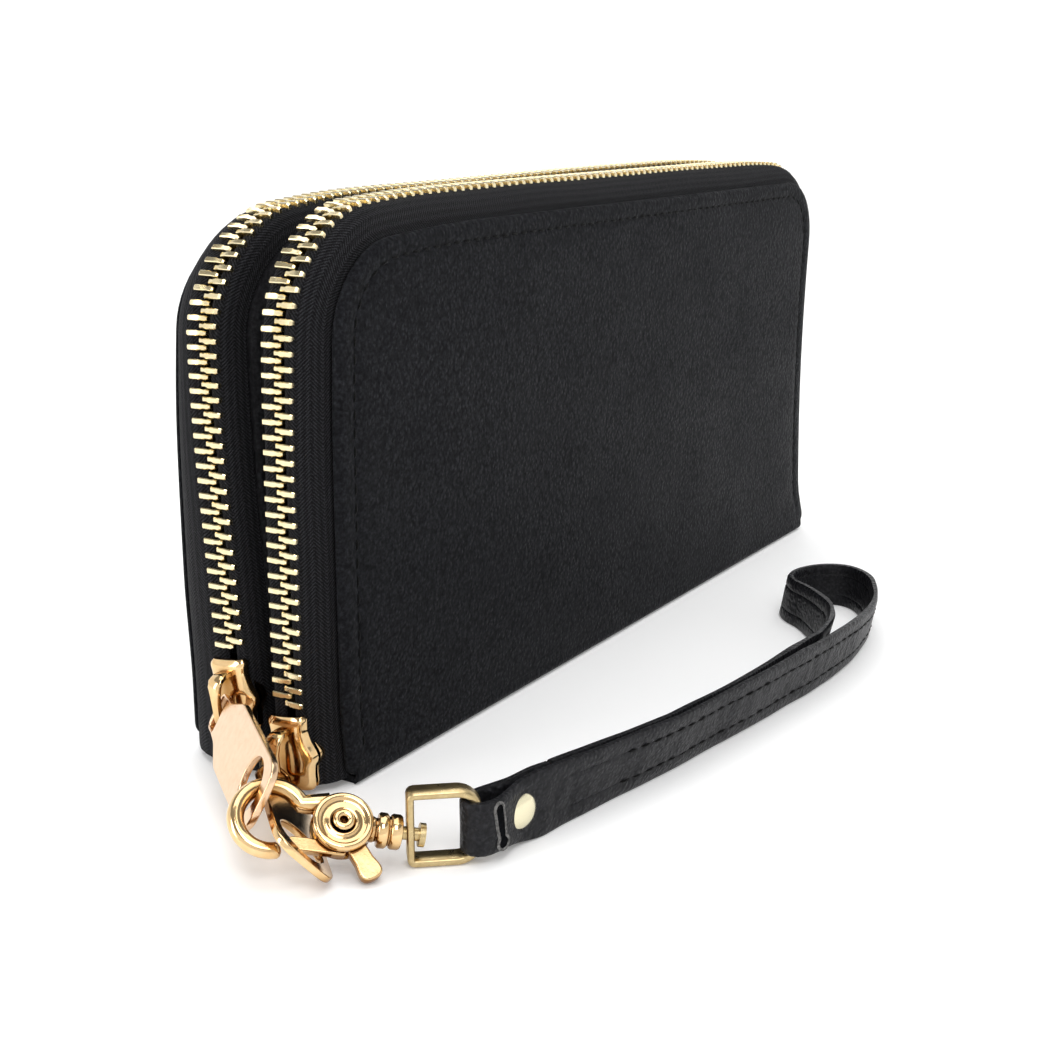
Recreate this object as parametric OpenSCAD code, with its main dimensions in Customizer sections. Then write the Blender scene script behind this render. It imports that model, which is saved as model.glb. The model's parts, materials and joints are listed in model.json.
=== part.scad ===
// Wristlet wallet: two zipped compartments side by side on one spine, both zip sliders
// at the lower left end, clipped together by a swivel snap hook on a leather wrist strap.
// Frame: origin under the middle of the spine, +X along the wallet towards the end away
// from the sliders, the front cover faces -Y, +Z up. Millimetres.

/* [Wallet] */
// Length of each cover
wallet_len = 196; // [180:1:210]
// Height of each cover
cover_h = 91; // [80:1:100]
// Depth over both covers
wallet_depth = 34; // [33:0.5:38]
// Radius of the covers' top corners
corner_r = 15; // [10:0.5:20]
// Radius of the covers' bottom corners
foot_r = 3; // [1:0.5:5]

/* [Covers] */
// Thickness of the outer leather
leather_t = 1.1; // [0.8:0.1:1.4]
// Thickness of the stiffening board
board_t = 0.7; // [0.5:0.1:1]
// Thickness of the lining
lining_t = 0.4; // [0.3:0.1:0.6]
// How far a cover opens about its bottom fold, degrees
cover_swing = 50; // [20:1:60]

/* [Zips] */
// Front zip, distance of its centre from the middle of the wallet
front_zip_y = 9.4; // [9:0.1:9.6]
// Back zip, distance of its centre from the middle along the top
back_zip_y = 6.6; // [6:0.1:7]
// Lean of the back zip at the slider end, degrees
back_lean = 4.1; // [3.5:0.1:4.5]
// Height of the zip's centre outside the covers' edge
zip_rise = 4.5; // [4:0.1:5]
// Thickness of the woven tape
tape_t = 0.7; // [0.5:0.1:0.8]
// Distance from tooth to tooth in one row
tooth_pitch = 2.54; // [2.5:0.01:2.6]

/* [Sliders and pulls] */
// Length of a slider
slider_len = 12.5; // [11:0.5:13]
// Width of a slider's outer plate
slider_w = 9.2; // [8.6:0.1:9.4]
// Distance from a bridge to the hole of its pull tab
pull_reach = 27.5; // [27.2:0.1:27.8]
// Width of a pull tab
pull_w = 11.8; // [11.5:0.1:11.9]
// Diameter of the hole near a pull tab's end
pull_hole = 8.5; // [8.4:0.1:8.6]

/* [Hook] */
// Outer diameter of the hook's jaw
jaw_d = 12.8; // [12.6:0.1:13]
// Diameter of the jaw's bar
jaw_bar = 2.6; // [2.4:0.1:2.6]
// Diameter of the round boss that holds the gate
boss_d = 9.2; // [9:0.1:9.3]

/* [Strap] */
// Width of the wrist strap
strap_w = 12; // [11:0.5:12.5]
// Thickness of one layer of the strap
strap_t = 1.5; // [1.2:0.1:1.7]

/* [Hidden] */

$fn = 48;
slip = 0.1;                                   // hairline between stacked sheets
half_len = wallet_len / 2;
half_depth = wallet_depth / 2;
corner_x = half_len - corner_r;               // centre of the top corners
corner_z = cover_h - corner_r;
spine_t = 1.4;
cover_z0 = spine_t + 0.4;                     // the covers start just above the spine
leather_in = half_depth - leather_t;          // inner face of the leather
board_in = leather_in - board_t;
lining_in = board_in - lining_t;
fold_y = half_depth - 0.3;                    // the covers' fold line
fold_z = spine_t + 0.2;

// Zip section: e is the height outside the covers' edge, dy the distance from the zip's centre.
flange_out_front = board_in - front_zip_y - tape_t / 2 - slip;
flange_out_back = board_in - back_zip_y - tape_t / 2 - slip;
flange_in = 4.9;
bend_r = 2;
flange_depth = 3;
tooth_w = 1.2;                                // thickness of one tooth along the row
tooth_h = 2.2;                                // height of a tooth, inside to outside
tooth_out = 2.9;                              // the row's outer edge from the zip's centre
tooth_head = 0.6;                             // the head passes the centre by this much
tooth_grip = 1.3;                             // how deep a tooth grips the tape

// Slider heights: lower end of each slider above the ground.
front_slider_z = 1;
back_slider_z = 8.6;
slider_lean = 8;                              // the hook drags the lower ends towards -Y

// Pull tabs hang from the bridges.
bridge_e = 9.9;                               // bridge bar centre outside the covers' edge
bridge_bar = 1.2;
pull_t = 1.1;

// The hook lies beside the wallet, tilted so that its far side is raised.
hook_at = [-120.7, -33.9, 7];
hook_yaw = -49.9;
hook_dip = 10.9;
hook_tilt = 40.6;
jaw_r = (jaw_d - jaw_bar) / 2;
jaw_x = -10.6;
boss_t = 4.2;
gate_t = 1.6;
tab_turn = 305;
tab_reach = 7.6;
collar_x = 5.6;
collar_len = 3.4;

// The strap's frame stands upright on the ground.
frame_h = 12;
frame_len = 11.5;
frame_band = 1.1;
frame_w = 3.6;
swivel_x = collar_x + collar_len;

function back_zip_at(z) = back_zip_y - max(0, corner_z - z) * tan(back_lean);

// ---------- shared shapes ----------

// Outline of a cover in the XZ plane, drawn in 2D, smaller by inset all round.
module cover_outline(inset = 0, z0 = cover_z0) {
    foot = max(foot_r - inset, 0.5);
    top = max(corner_r - inset, 2);
    right = half_len - inset;
    low = z0;
    high = cover_h - inset;
    translate([-right, low + foot]) square([2 * right, high - top - low - foot]);
    translate([-right + foot, low]) square([2 * (right - foot), foot + 1]);
    translate([-right + top, high - top - 1]) square([2 * (right - top), top + 1]);
    for (side = [-1, 1]) {
        translate([side * (right - foot), low + foot]) circle(foot);
        translate([side * (right - top), high - top]) circle(top, $fn = 96);
    }
}

// A sheet standing in the XZ plane between two distances from the middle, on the front side.
module front_sheet(y_out, y_in, inset = 0, z0 = cover_z0) {
    translate([0, -y_in, 0])
        rotate([90, 0, 0])
            linear_extrude(y_out - y_in)
                cover_outline(inset, z0);
}

module to_back() { mirror([0, 1, 0]) children(); }

// Sweeps a zip section, drawn as (e, dy), up the left end, over the top and down the right end.
module zip_sweep(y_top, lean, z_left, z_right) {
    drop = (corner_z - z_left) / cos(lean);
    translate([-half_len, y_top, corner_z])
        rotate([-lean, 0, 0])
            translate([0, 0, -drop])
                linear_extrude(drop + (lean > 0 ? 0.7 : 0)) mirror([1, 0]) children();
    translate([half_len, y_top, z_right])
        linear_extrude(corner_z - z_right) children();
    translate([corner_x, y_top, cover_h])
        rotate([0, -90, 0])
            linear_extrude(2 * corner_x) children();
    translate([corner_x, y_top, corner_z])
        zip_corner() children();
    translate([-corner_x, y_top, corner_z])
        mirror([1, 0, 0]) zip_corner() children();
}

module zip_corner() {
    rotate([-90, -90, 0])
        rotate_extrude(angle = 90, $fn = 96)
            translate([corner_r, 0]) children();
}

// One side of a zip tape: flat by the teeth, bent down and tucked in beside its panel.
module tape_section(flange) {
    bend_y = flange - bend_r;
    inner = tooth_out - tooth_grip;
    translate([zip_rise - tape_t / 2, inner]) square([tape_t, bend_y - inner]);
    translate([zip_rise - bend_r, bend_y])
        intersection() {
            difference() {
                circle(bend_r + tape_t / 2);
                circle(bend_r - tape_t / 2);
            }
            square(2 * bend_r);
        }
    translate([-flange_depth, flange - tape_t / 2])
        square([flange_depth + zip_rise - bend_r, tape_t]);
}

// A tooth is a fork that grips the tape's edge, with a head past the zip's centre.
module tooth_section() {
    grip_t = tape_t + 2 * slip;
    translate([zip_rise - tooth_h / 2, 0])
        difference() {
            translate([0, -tooth_head]) square([tooth_h, tooth_out + tooth_head]);
            translate([(tooth_h - grip_t) / 2, tooth_out - tooth_grip - slip])
                square([grip_t, tooth_grip + 1]);
        }
}

// A row of teeth along the zip's path; side is -1 for the row nearer -Y, phase shifts the row.
module tooth_row(y_top, lean, z_left, side, phase) {
    n_end = floor(corner_z / tooth_pitch);
    n_arc = round(90 * (corner_r + zip_rise) * PI / 180 / tooth_pitch);
    n_top = round(2 * corner_x / tooth_pitch);
    for (i = [0 : n_end - 1]) {
        drop = (i + 0.5 + phase) * tooth_pitch;
        if (corner_z - drop * cos(lean) - tooth_w > z_left)
            translate([-half_len, y_top, corner_z])
                rotate([-lean, 0, 0])
                    translate([0, 0, -drop]) mirror([1, 0, 0]) tooth(side);
        if (corner_z - drop > 6)
            translate([half_len, y_top, corner_z - drop]) tooth(side);
    }
    for (i = [0 : n_arc - 1]) {
        turn = (i + 0.5 + phase) * 90 / n_arc;
        if (turn < 88)
            for (end = [0, 1])
                mirror([end, 0, 0])
                    translate([corner_x, y_top, corner_z])
                        rotate([0, -turn, 0])
                            translate([corner_r, 0, 0]) tooth(side);
    }
    for (i = [0 : n_top - 1]) {
        along = (i + 0.5 + phase) * 2 * corner_x / n_top;
        if (along < 2 * corner_x - 0.6)
            translate([corner_x - along, y_top, cover_h])
                rotate([0, -90, 0]) tooth(side);
    }
}

module tooth(side) {
    translate([0, 0, -tooth_w / 2])
        linear_extrude(tooth_w)
            scale_y(side) tooth_section();
}

module scale_y(side) {
    if (side < 0) mirror([0, 1]) children();
    else children();
}

// ---------- spine and divider ----------

module spine_leather() {
    color([0.05, 0.05, 0.055])
        translate([-half_len + foot_r, 0, 0])
            rotate([90, 0, 90])
                linear_extrude(wallet_len - 2 * foot_r) {
                    translate([-half_depth + spine_t, 0])
                        square([wallet_depth - 2 * spine_t, spine_t]);
                    for (side = [-1, 1])
                        translate([side * (half_depth - spine_t), spine_t / 2])
                            circle(spine_t / 2);
                }
}

module spine_lining() {
    color([0.1, 0.1, 0.11])
        translate([-half_len + 7, -lining_in + 3, spine_t])
            cube([wallet_len - 14, 2 * lining_in - 6, lining_t]);
}

divider_y = -1.2;                             // the divider stands a little in front of the middle
core_t = 1.6;
divider_z0 = spine_t + lining_t;
divider_inset = 8;

module divider_sheet(thickness, y_low, inset) {
    translate([0, y_low + thickness, 0])
        rotate([90, 0, 0])
            linear_extrude(thickness)
                cover_outline(inset, divider_z0);
}

module divider_core() {
    color([0.55, 0.5, 0.42])
        divider_sheet(core_t, divider_y - core_t / 2, divider_inset);
}

module divider_front_lining() {
    color([0.09, 0.09, 0.1])
        divider_sheet(lining_t, divider_y - core_t / 2 - lining_t, divider_inset - 0.5);
}

module divider_back_lining() {
    color([0.09, 0.09, 0.1])
        divider_sheet(lining_t, divider_y + core_t / 2, divider_inset - 0.5);
}

// The strip between the two inner tapes, wide along the top and a thin wedge down each end.
module divider_welt() {
    front_y = -front_zip_y + flange_in + tape_t / 2 + slip;
    low_z = 26;
    color([0.06, 0.06, 0.065])
        intersection() {
            rotate([90, 0, 90])
                translate([0, 0, -half_len - 1])
                    linear_extrude(wallet_len + 2)
                        polygon([
                            [front_y, low_z],
                            [back_zip_at(low_z) - flange_in - tape_t / 2 - slip, low_z],
                            [back_zip_y - flange_in - tape_t / 2 - slip, corner_z],
                            [back_zip_y - flange_in - tape_t / 2 - slip, cover_h],
                            [front_y, cover_h]
                        ]);
            difference() {
                welt_block(0.6);
                welt_block(divider_inset - 1);
            }
        }
}

module welt_block(inset) {
    translate([0, half_depth, 0])
        rotate([90, 0, 0])
            linear_extrude(wallet_depth)
                cover_outline(inset, divider_z0 + inset);
}

// Card slots step down the front face of the divider, one behind the other.
module card_slot(index) {
    slot_t = 0.5;
    slot_top = 78 - 13 * index;
    y_back = divider_y - core_t / 2 - lining_t - slip;
    color([0.07, 0.07, 0.075])
        translate([-78, y_back - (index + 1) * slot_t - index * slip, divider_z0 + 4])
            cube([100, slot_t, slot_top - divider_z0 - 4]);
}

module card_slot_1() { card_slot(0); }
module card_slot_2() { card_slot(1); }
module card_slot_3() { card_slot(2); }

module coin_pocket() {
    y_front = divider_y + core_t / 2 + lining_t + slip;
    color([0.08, 0.08, 0.085])
        translate([-74, y_front, divider_z0 + 4])
            cube([148, 0.6, 58]);
}

// ---------- zips ----------

module front_inner_tape() {
    color([0.08, 0.08, 0.08])
        zip_sweep(-front_zip_y, 0, front_tape_low, 3) tape_section(flange_in);
}

module front_outer_tape() {
    color([0.08, 0.08, 0.08])
        zip_sweep(-front_zip_y, 0, front_tape_low, 3) mirror([0, 1]) tape_section(flange_out_front);
}

module back_inner_tape() {
    color([0.08, 0.08, 0.08])
        zip_sweep(back_zip_y, back_lean, back_tape_low, 3) mirror([0, 1]) tape_section(flange_in);
}

module back_outer_tape() {
    color([0.08, 0.08, 0.08])
        zip_sweep(back_zip_y, back_lean, back_tape_low, 3) tape_section(flange_out_back);
}

// Tapes and teeth of the slider end start just above the sliders.
front_tape_low = front_slider_z + slider_len + 1.4;
back_tape_low = back_slider_z + slider_len + 1.4;
front_first_tooth = front_tape_low + 0.4;
back_first_tooth = back_tape_low + 0.4;

module front_outer_teeth() {
    color([0.85, 0.76, 0.5])
        tooth_row(-front_zip_y, 0, front_first_tooth, -1, 0);
}

module front_inner_teeth() {
    color([0.85, 0.76, 0.5])
        tooth_row(-front_zip_y, 0, front_first_tooth, 1, 0.5);
}

module back_outer_teeth() {
    color([0.85, 0.76, 0.5])
        tooth_row(back_zip_y, back_lean, back_first_tooth, 1, 0);
}

module back_inner_teeth() {
    color([0.85, 0.76, 0.5])
        tooth_row(back_zip_y, back_lean, back_first_tooth, -1, 0.5);
}

// A box stop crimped over both tape edges where each zip ends at the far end.
module end_stop(y) {
    color([0.85, 0.76, 0.5])
        translate([half_len + zip_rise, y, 4])
            difference() {
                translate([-1.2, -2.6, -1.4]) cube([2.4, 5.2, 2.8]);
                translate([-tape_t / 2 - slip, -3, -2]) cube([tape_t + 2 * slip, 6, 4]);
            }
}

module front_end_stops() { end_stop(-front_zip_y); }
module back_end_stops() { end_stop(back_zip_y); }

// ---------- covers ----------

module front_leather() {
    color([0.05, 0.05, 0.055]) front_sheet(half_depth, leather_in);
}

module front_board() {
    color([0.5, 0.46, 0.4]) front_sheet(leather_in, board_in, 2.5, cover_z0 + 2);
}

module front_lining() {
    color([0.1, 0.1, 0.11]) front_sheet(board_in, lining_in, 4, cover_z0 + 2);
}

module front_slip_pocket() {
    color([0.08, 0.08, 0.085])
        translate([-80, -lining_in + slip, cover_z0 + 5])
            cube([160, 0.5, 60]);
}

module back_leather() { to_back() front_leather(); }
module back_board() { to_back() front_board(); }
module back_lining() { to_back() front_lining(); }
module back_slip_pocket() { to_back() front_slip_pocket(); }

// A gusset is a sheet folded to a V between a cover and the divider, inside an end of the wallet.
module gusset(y_cover, y_middle) {
    fold = 11;
    sheet = 0.5;
    y_fold = (y_cover + y_middle) / 2;
    color([0.09, 0.09, 0.1])
        translate([-half_len + flange_depth + 7.6, 0, cover_z0 + 4])
            linear_extrude(70)
                polygon([
                    [0, y_cover], [fold, y_fold], [0, y_middle],
                    [0, y_middle - sheet * sign(y_middle - y_cover)],
                    [fold - 3 * sheet, y_fold],
                    [0, y_cover + sheet * sign(y_middle - y_cover)]
                ]);
}

front_gusset_y = [-lining_in + 0.3, divider_y - core_t / 2 - lining_t - 0.3];
back_gusset_y = [lining_in - 0.3, divider_y + core_t / 2 + lining_t + 0.3];

module front_left_gusset() { gusset(front_gusset_y[0], front_gusset_y[1]); }
module front_right_gusset() { mirror([1, 0, 0]) front_left_gusset(); }
module back_left_gusset() { gusset(back_gusset_y[0], back_gusset_y[1]); }
module back_right_gusset() { mirror([1, 0, 0]) back_left_gusset(); }

// ---------- sliders ----------

// Places a slider-end shape: x along e, y across the zip, z up the row from the slider's foot.
module on_front_zip() {
    translate([-half_len, -front_zip_y, front_slider_z + slider_len])
        rotate([-slider_lean, 0, 0])
            translate([0, 0, -slider_len]) mirror([1, 0, 0]) children();
}

module on_back_zip() {
    top_z = back_slider_z + slider_len;
    translate([-half_len, back_zip_at(top_z), top_z])
        rotate([-slider_lean, 0, 0])
            translate([0, 0, -slider_len]) mirror([1, 0, 0]) children();
}

plate_t = 1.1;
plate_out = zip_rise + tooth_h / 2 + 0.25;    // inner face of the outer plate
plate_in = zip_rise - tooth_h / 2 - 0.25;     // outer face of the inner plate
waist_w = slider_w - 1.6;

// A plate is narrow at the top, with shoulders that swell below the middle.
module slider_plate(width) {
    translate([-width * 0.41, slider_len - 4]) square([width * 0.82, 4]);
    translate([-width * 0.36, 0]) square([width * 0.72, 3]);
    for (side = [-1, 1])
        translate([side * (width / 2 - 2.6), slider_len * 0.38]) circle(2.6);
    translate([-width / 2 + 2.6, slider_len * 0.38 - 2.6]) square([width - 5.2, 5.2]);
    translate([-width * 0.41, 2]) square([width * 0.82, slider_len - 5]);
}

module slider_body() {
    lip = 0.5;
    color([0.9, 0.72, 0.4]) {
        translate([plate_out, 0, 0])
            rotate([90, 0, 90]) linear_extrude(plate_t) slider_plate(slider_w);
        translate([plate_in - plate_t, 0, 0])
            rotate([90, 0, 90]) linear_extrude(plate_t) slider_plate(slider_w - 0.8);
        for (side = [-1, 1])
            translate([plate_out - lip, side * (waist_w / 2 - 0.35) - 0.35, 1])
                cube([lip + 0.2, 0.7, slider_len - 1.6]);
        translate([plate_in - 0.2, -0.8, 0.6])
            cube([plate_out - plate_in + 0.4, 1.6, 3]);
    }
}

// The bridge is an arched bar that holds the pull tab.
module slider_bridge() {
    low = 0.1;
    high = slider_len - 1.8;
    reach = bridge_e - plate_out - plate_t;
    color([0.95, 0.78, 0.45])
        translate([plate_out + plate_t, 0, 0]) {
            translate([0, -bridge_bar / 2, low]) cube([reach, bridge_bar, 1.2]);
            translate([0, -bridge_bar / 2, high - 1.2]) cube([reach, bridge_bar, 1.2]);
            translate([reach - 0.6, -bridge_bar / 2, low]) cube([1.2, bridge_bar, high - low]);
        }
}

module front_slider_body() { on_front_zip() slider_body(); }
module front_slider_bridge() { on_front_zip() slider_bridge(); }
module back_slider_body() { on_back_zip() slider_body(); }
module back_slider_bridge() { on_back_zip() slider_bridge(); }

// ---------- pull tabs ----------

// A flat tab along +x from the bridge: a slot at its root and a round hole near its end.
pull_root = 2;                                // tab behind the bridge bar
pull_end = pull_reach + pull_hole / 2 + 2.4;  // and its far end

module pull_tab() {
    end_r = 4;
    slot_w = 2.8;
    slot_l = 5.8;
    color([0.96, 0.82, 0.5])
        translate([0, 0, -pull_t / 2])
            difference() {
                linear_extrude(pull_t) {
                    hull() for (side = [-1, 1]) {
                        translate([2 - pull_root, side * 2]) circle(2);
                        translate([3, side * 2]) circle(2);
                        translate([8, side * (pull_w / 2 - 2)]) circle(2);
                    }
                    hull() for (side = [-1, 1]) {
                        translate([8, side * (pull_w / 2 - 2)]) circle(2);
                        translate([pull_end - end_r, side * (pull_w / 2 - end_r)]) circle(end_r);
                    }
                }
                translate([-slot_w / 2 + 0.3, -slot_l / 2, -1]) cube([slot_w, slot_l, pull_t + 2]);
                translate([pull_reach, 0, -1]) cylinder(d = pull_hole, h = pull_t + 2);
            }
}

// Direction of each tab from its bridge: yaw round Z, dip below level, roll round its length.
front_pull = [-107.9, -10.1, 5.7];
front_pull_turn = [132.5, 0.3, 227.7];
back_pull = [-107.7, 1.3, 13];
back_pull_turn = [-117.4, 2.3, 232.1];

module pull_place(at, turn) {
    translate(at) rotate([0, 0, turn[2]]) rotate([0, turn[1], 0]) rotate([turn[0], 0, 0]) children();
}

module front_puller() { pull_place(front_pull, front_pull_turn) pull_tab(); }
module back_puller() { pull_place(back_pull, back_pull_turn) pull_tab(); }

// ---------- snap hook ----------

// Hook frame: origin at the gate's pivot, x towards the swivel, y to the raised far side.
module hook_place() {
    translate(hook_at)
        rotate([0, 0, hook_yaw]) rotate([0, hook_dip, 0]) rotate([hook_tilt, 0, 0]) children();
}

jaw_start = 32;                               // the jaw leaves the boss on its far side
jaw_end = 285;                                // and its tip stops short of the gate

module hook_body() {
    root = [jaw_x + jaw_r * cos(jaw_start), jaw_r * sin(jaw_start), 0];
    boss_root = [-2.2, 3.2, 0];
    color([0.93, 0.76, 0.42])
        hook_place()
            difference() {
                union() {
                    translate([jaw_x, 0, 0])
                        rotate([0, 0, jaw_start])
                            rotate_extrude(angle = jaw_end - jaw_start)
                                translate([jaw_r, 0]) circle(d = jaw_bar);
                    translate(root) sphere(d = jaw_bar);
                    translate(root)
                        rotate([0, 90, atan2(boss_root[1] - root[1], boss_root[0] - root[0])])
                            cylinder(d = jaw_bar - 0.1, h = norm(boss_root - root));
                    translate([0, 0, -boss_t / 2]) cylinder(d = boss_d, h = boss_t);
                    rotate([0, 90, 0]) cylinder(d1 = 4, d2 = 3.4, h = collar_x);
                    translate([collar_x - 0.6, 0, 0])
                        rotate([0, 90, 0]) cylinder(d = 5.2, h = collar_len + 0.6);
                }
                translate([0, 0, -boss_t]) cylinder(d = 1.9, h = 2 * boss_t);
                translate([-boss_d / 2 - 0.4, -boss_d, -gate_t / 2 - slip])
                    cube([boss_d / 2 + 3, boss_d + 2.4, gate_t + 2 * slip]);
                translate([2.5, -boss_d, -gate_t / 2 - slip])
                    cube([2.6, boss_d - 0.5, gate_t + 2 * slip]);
                translate([4, 0, 0]) rotate([0, 90, 0]) cylinder(d = 2.1, h = 12);
            }
}

// The gate is a lever in the boss's slot: its arm closes the jaw, its tab is for the thumb.
gate_hub = 2.2;
spring_d = 3.2;

module hook_gate() {
    color([0.95, 0.8, 0.48])
        hook_place()
            translate([0, 0, -gate_t / 2])
                difference() {
                    linear_extrude(gate_t) {
                        circle(gate_hub);
                        translate([-6.8, -4.9]) square([6.4, 2.2]);
                        translate([-6.8, -3.8]) circle(1.1);
                        translate([-2.2, -4.6]) square([3.4, 4]);
                        rotate(tab_turn) translate([0, -1.7]) square([tab_reach, 3.4]);
                        rotate(tab_turn) translate([tab_reach, 0]) circle(2);
                    }
                    translate([0, 0, -1]) cylinder(d = 1.9, h = gate_t + 2);
                    translate([0, 0, gate_t - 0.8]) cylinder(d = spring_d + 0.2, h = 1);
                }
}

module gate_rivet() {
    head = boss_t / 2 + 0.03;
    color([0.9, 0.74, 0.42])
        hook_place()
            difference() {
                union() {
                    translate([0, 0, -head]) cylinder(d = 1.8, h = 2 * head);
                    translate([0, 0, head]) cylinder(d = 3, h = 0.5);
                    translate([0, 0, -head - 0.5]) cylinder(d = 3, h = 0.5);
                }
                translate([0, 0, boss_t / 2 - 1]) cylinder(d = 1, h = 2);
            }
}

// The spring that shuts the gate is coiled round the pivot, in a recess of the gate.
module gate_spring() {
    color([0.6, 0.6, 0.62])
        hook_place()
            translate([0, 0, gate_t / 2 - 0.7])
                difference() {
                    cylinder(d = spring_d, h = 0.6);
                    translate([0, 0, -1]) cylinder(d = 2.1, h = 3);
                }
}

// The stem runs through the collar and the strap's frame, with a head at each end.
module swivel_stem() {
    color([0.85, 0.7, 0.4])
        hook_place()
            rotate([0, 90, 0]) {
                translate([0, 0, 4.2])
                    cylinder(d = 2, h = swivel_x - 4.2 + frame_band + 2 * end_play + 0.2);
                translate([0, 0, swivel_x + frame_band + 2 * end_play]) cylinder(d = 3.6, h = 0.9);
            }
}

// ---------- strap frame and strap ----------

end_play = 0.75;                              // between the collar and the frame's band
hook_x = [cos(hook_yaw) * cos(hook_dip), sin(hook_yaw) * cos(hook_dip), -sin(hook_dip)];
frame_at = hook_at + (swivel_x + end_play + frame_band / 2) * hook_x;
frame_z0 = 0.2;

// A D made of flat band: x runs from the hook to the strap's bar, z is up.
module strap_frame() {
    bend = 4;
    color([0.66, 0.55, 0.32])
        translate([frame_at[0], frame_at[1], 0])
            rotate([0, 0, hook_yaw])
                difference() {
                    translate([-frame_band / 2, frame_w / 2, frame_z0])
                        rotate([90, 0, 0])
                            linear_extrude(frame_w)
                                difference() {
                                    frame_outline(frame_len, frame_h, bend);
                                    translate([frame_band, frame_band])
                                        frame_outline(frame_len - 2 * frame_band,
                                            frame_h - 2 * frame_band, bend - frame_band);
                                }
                    translate([0, 0, frame_at[2]])
                        rotate([0, 90 + hook_dip, 0]) cylinder(d = 2.9, h = 4, center = true);
                }
}

module frame_outline(length, height, bend) {
    square([length - bend, height]);
    translate([length - bend - 0.1, bend]) square([bend + 0.1, height - 2 * bend]);
    translate([length - bend, bend]) circle(bend);
    translate([length - bend, height - bend]) circle(bend);
}

// Strap: route of its middle line on the ground, then a loop back to the neck.
bar_at = [
    frame_at[0] + cos(hook_yaw) * (frame_len - frame_band),
    frame_at[1] + sin(hook_yaw) * (frame_len - frame_band)
];
strap_near = [
    [-92, -53.4], [-70, -57.5], [-45, -61.5], [-20, -65], [2, -66], [20, -64],
    [36, -58]
];
loop_far = [[43, -50], [44, -44], [40, -41.5], [32, -42], [22, -46], [10, -55], [4, -62]];
fold_low = 2;                                 // the fold inside the frame is narrower
fold_high = 10.3;
near_dir = (strap_near[0] - bar_at) / norm(strap_near[0] - bar_at);
near_turn = atan2(near_dir[1], near_dir[0]);
rivet_at = bar_at + 7.6 * near_dir;

module strap() {
    color([0.06, 0.06, 0.065])
        difference() {
            union() {
                linear_extrude(strap_w) {
                    strap_run(concat([bar_at + 3.5 * near_dir], strap_near), 2 * strap_t);
                    strap_run(concat([[34, -58.6], strap_near[6]], loop_far), strap_t);
                }
                translate([bar_at[0], bar_at[1], fold_low])
                    linear_extrude(fold_high - fold_low)
                        difference() {
                            circle(2.6 + strap_t);
                            circle(2.6);
                        }
            }
            on_rivet() cylinder(d = 2.5, h = 8, center = true);
        }
}

// Origin on the strap's middle line at half its width, z out of the near face.
module on_rivet() {
    translate([rivet_at[0], rivet_at[1], strap_w / 2]) rotate([90, 0, near_turn]) children();
}

// A strip of even width along a line of points.
function unit(v) = v / norm(v);
function tangent(p, i) =
    i == 0 ? unit(p[1] - p[0])
    : i == len(p) - 1 ? unit(p[i] - p[i - 1])
    : unit(unit(p[i] - p[i - 1]) + unit(p[i + 1] - p[i]));
function beside(p, i, d) = p[i] + d * [-tangent(p, i)[1], tangent(p, i)[0]];

module strap_run(points, width) {
    n = len(points);
    polygon(concat(
        [for (i = [0 : n - 1]) beside(points, i, width / 2)],
        [for (i = [n - 1 : -1 : 0]) beside(points, i, -width / 2)]
    ));
}

module strap_rivet_cap() {
    color([0.93, 0.87, 0.66])
        on_rivet() translate([0, 0, strap_t + 0.15]) cylinder(d = 6, h = 0.8);
}

module strap_rivet_post() {
    color([0.93, 0.87, 0.66])
        on_rivet() {
            translate([0, 0, -strap_t - 0.95]) cylinder(d = 6, h = 0.8);
            translate([0, 0, -strap_t - 0.2]) cylinder(d = 2.3, h = 2 * strap_t + 0.34);
        }
}

spine_leather();
spine_lining();
divider_core();
divider_front_lining();
divider_back_lining();
divider_welt();
front_inner_tape();
back_inner_tape();
front_inner_teeth();
back_inner_teeth();
front_end_stops();
back_end_stops();
card_slot_1();
card_slot_2();
card_slot_3();
coin_pocket();
front_leather();
front_board();
front_lining();
front_slip_pocket();
front_outer_tape();
front_outer_teeth();
front_left_gusset();
front_right_gusset();
back_leather();
back_board();
back_lining();
back_slip_pocket();
back_outer_tape();
back_outer_teeth();
back_left_gusset();
back_right_gusset();
front_slider_body();
front_slider_bridge();
back_slider_body();
back_slider_bridge();
front_puller();
back_puller();
hook_body();
hook_gate();
gate_rivet();
gate_spring();
swivel_stem();
strap_frame();
strap();
strap_rivet_cap();
strap_rivet_post();
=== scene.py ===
"""Looks of the wristlet wallet: pieces in millimetres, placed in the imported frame."""

import json
import math

import bmesh
import bpy
from mathutils import Matrix, Vector, noise


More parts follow.
